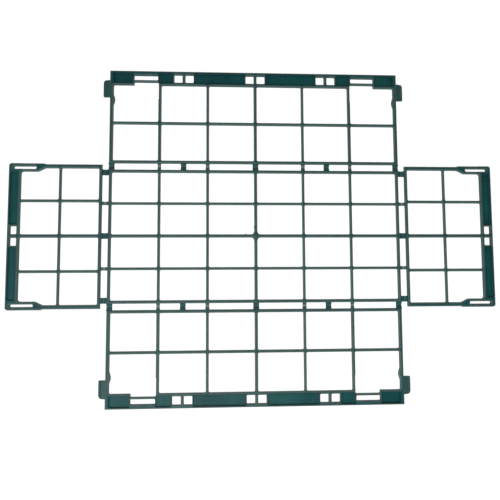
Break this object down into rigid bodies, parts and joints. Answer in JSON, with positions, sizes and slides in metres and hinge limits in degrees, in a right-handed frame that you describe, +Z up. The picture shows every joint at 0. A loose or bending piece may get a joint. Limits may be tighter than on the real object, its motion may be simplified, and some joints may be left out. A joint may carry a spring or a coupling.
{
  "type": "folding lattice cage",
  "caption": "Flat moulded plastic lattice whose four side grids fold up on living hinges into an open-topped cage, held by snap tabs at the corners.",
  "frame": {"origin": "middle of the base lattice's underside, the plane that the flat moulding lies on", "axes": "+X along the long flaps' hinge lines, +Y towards the back flap, +Z up out of the flat moulding, the way the flaps fold"},
  "size_m": [0.4976, 0.3432, 0.004],
  "materials": {
    "moulded_polypropylene": "injection-moulded dark green polypropylene, semi-gloss",
    "hinge_straps": "the same polypropylene, thinned to a film and slightly paler where it bends"
  },
  "bodies": {
    "base": {"base_lattice": "moulded_polypropylene", "gate_stub": "moulded_polypropylene", "back_hinge_strap_1": "hinge_straps", "back_hinge_strap_2": "hinge_straps", "back_hinge_strap_3": "hinge_straps", "back_hinge_strap_4": "hinge_straps", "back_hinge_strap_5": "hinge_straps", "back_hinge_strap_6": "hinge_straps", "back_hinge_strap_7": "hinge_straps", "back_hinge_strap_8": "hinge_straps", "back_hinge_strap_9": "hinge_straps", "front_hinge_strap_1": "hinge_straps", "front_hinge_strap_2": "hinge_straps", "front_hinge_strap_3": "hinge_straps", "front_hinge_strap_4": "hinge_straps", "front_hinge_strap_5": "hinge_straps", "front_hinge_strap_6": "hinge_straps", "front_hinge_strap_7": "hinge_straps", "front_hinge_strap_8": "hinge_straps", "front_hinge_strap_9": "hinge_straps", "left_hinge_strap_1": "hinge_straps", "left_hinge_strap_2": "hinge_straps", "left_hinge_strap_3": "hinge_straps", "left_hinge_strap_4": "hinge_straps", "left_hinge_strap_5": "hinge_straps", "right_hinge_strap_1": "hinge_straps", "right_hinge_strap_2": "hinge_straps", "right_hinge_strap_3": "hinge_straps", "right_hinge_strap_4": "hinge_straps", "right_hinge_strap_5": "hinge_straps"},
    "back_flap": {"back_flap_lattice": "moulded_polypropylene", "back_flap_rim": "moulded_polypropylene", "back_left_latch_tab": "moulded_polypropylene", "back_right_latch_tab": "moulded_polypropylene"},
    "front_flap": {"front_flap_lattice": "moulded_polypropylene", "front_flap_rim": "moulded_polypropylene", "front_left_latch_tab": "moulded_polypropylene", "front_right_latch_tab": "moulded_polypropylene"},
    "left_flap": {"left_flap_lattice": "moulded_polypropylene", "left_flap_rim": "moulded_polypropylene", "left_front_latch_arm": "moulded_polypropylene", "left_back_latch_arm": "moulded_polypropylene"},
    "right_flap": {"right_flap_lattice": "moulded_polypropylene", "right_flap_rim": "moulded_polypropylene", "right_front_latch_arm": "moulded_polypropylene", "right_back_latch_arm": "moulded_polypropylene"}
  },
  "joints": [
    {"name": "back_flap_hinge", "type": "hinge", "parent": "base", "child": "back_flap", "pos_m": [0, 0.0714, 0.0003], "axis": [1, 0, 0], "range_deg": [0, 90], "deforming": ["back_hinge_strap_1", "back_hinge_strap_2", "back_hinge_strap_3", "back_hinge_strap_4", "back_hinge_strap_5", "back_hinge_strap_6", "back_hinge_strap_7", "back_hinge_strap_8", "back_hinge_strap_9"]},
    {"name": "front_flap_hinge", "type": "hinge", "parent": "base", "child": "front_flap", "pos_m": [0, -0.0714, 0.0003], "axis": [-1, 0, 0], "range_deg": [0, 90], "deforming": ["front_hinge_strap_1", "front_hinge_strap_2", "front_hinge_strap_3", "front_hinge_strap_4", "front_hinge_strap_5", "front_hinge_strap_6", "front_hinge_strap_7", "front_hinge_strap_8", "front_hinge_strap_9"]},
    {"name": "left_flap_hinge", "type": "hinge", "parent": "base", "child": "left_flap", "pos_m": [-0.153, 0, 0.0003], "axis": [0, 1, 0], "range_deg": [0, 90], "deforming": ["left_hinge_strap_1", "left_hinge_strap_2", "left_hinge_strap_3", "left_hinge_strap_4", "left_hinge_strap_5"]},
    {"name": "right_flap_hinge", "type": "hinge", "parent": "base", "child": "right_flap", "pos_m": [0.153, 0, 0.0003], "axis": [0, -1, 0], "range_deg": [0, 90], "deforming": ["right_hinge_strap_1", "right_hinge_strap_2", "right_hinge_strap_3", "right_hinge_strap_4", "right_hinge_strap_5"]}
  ]
}
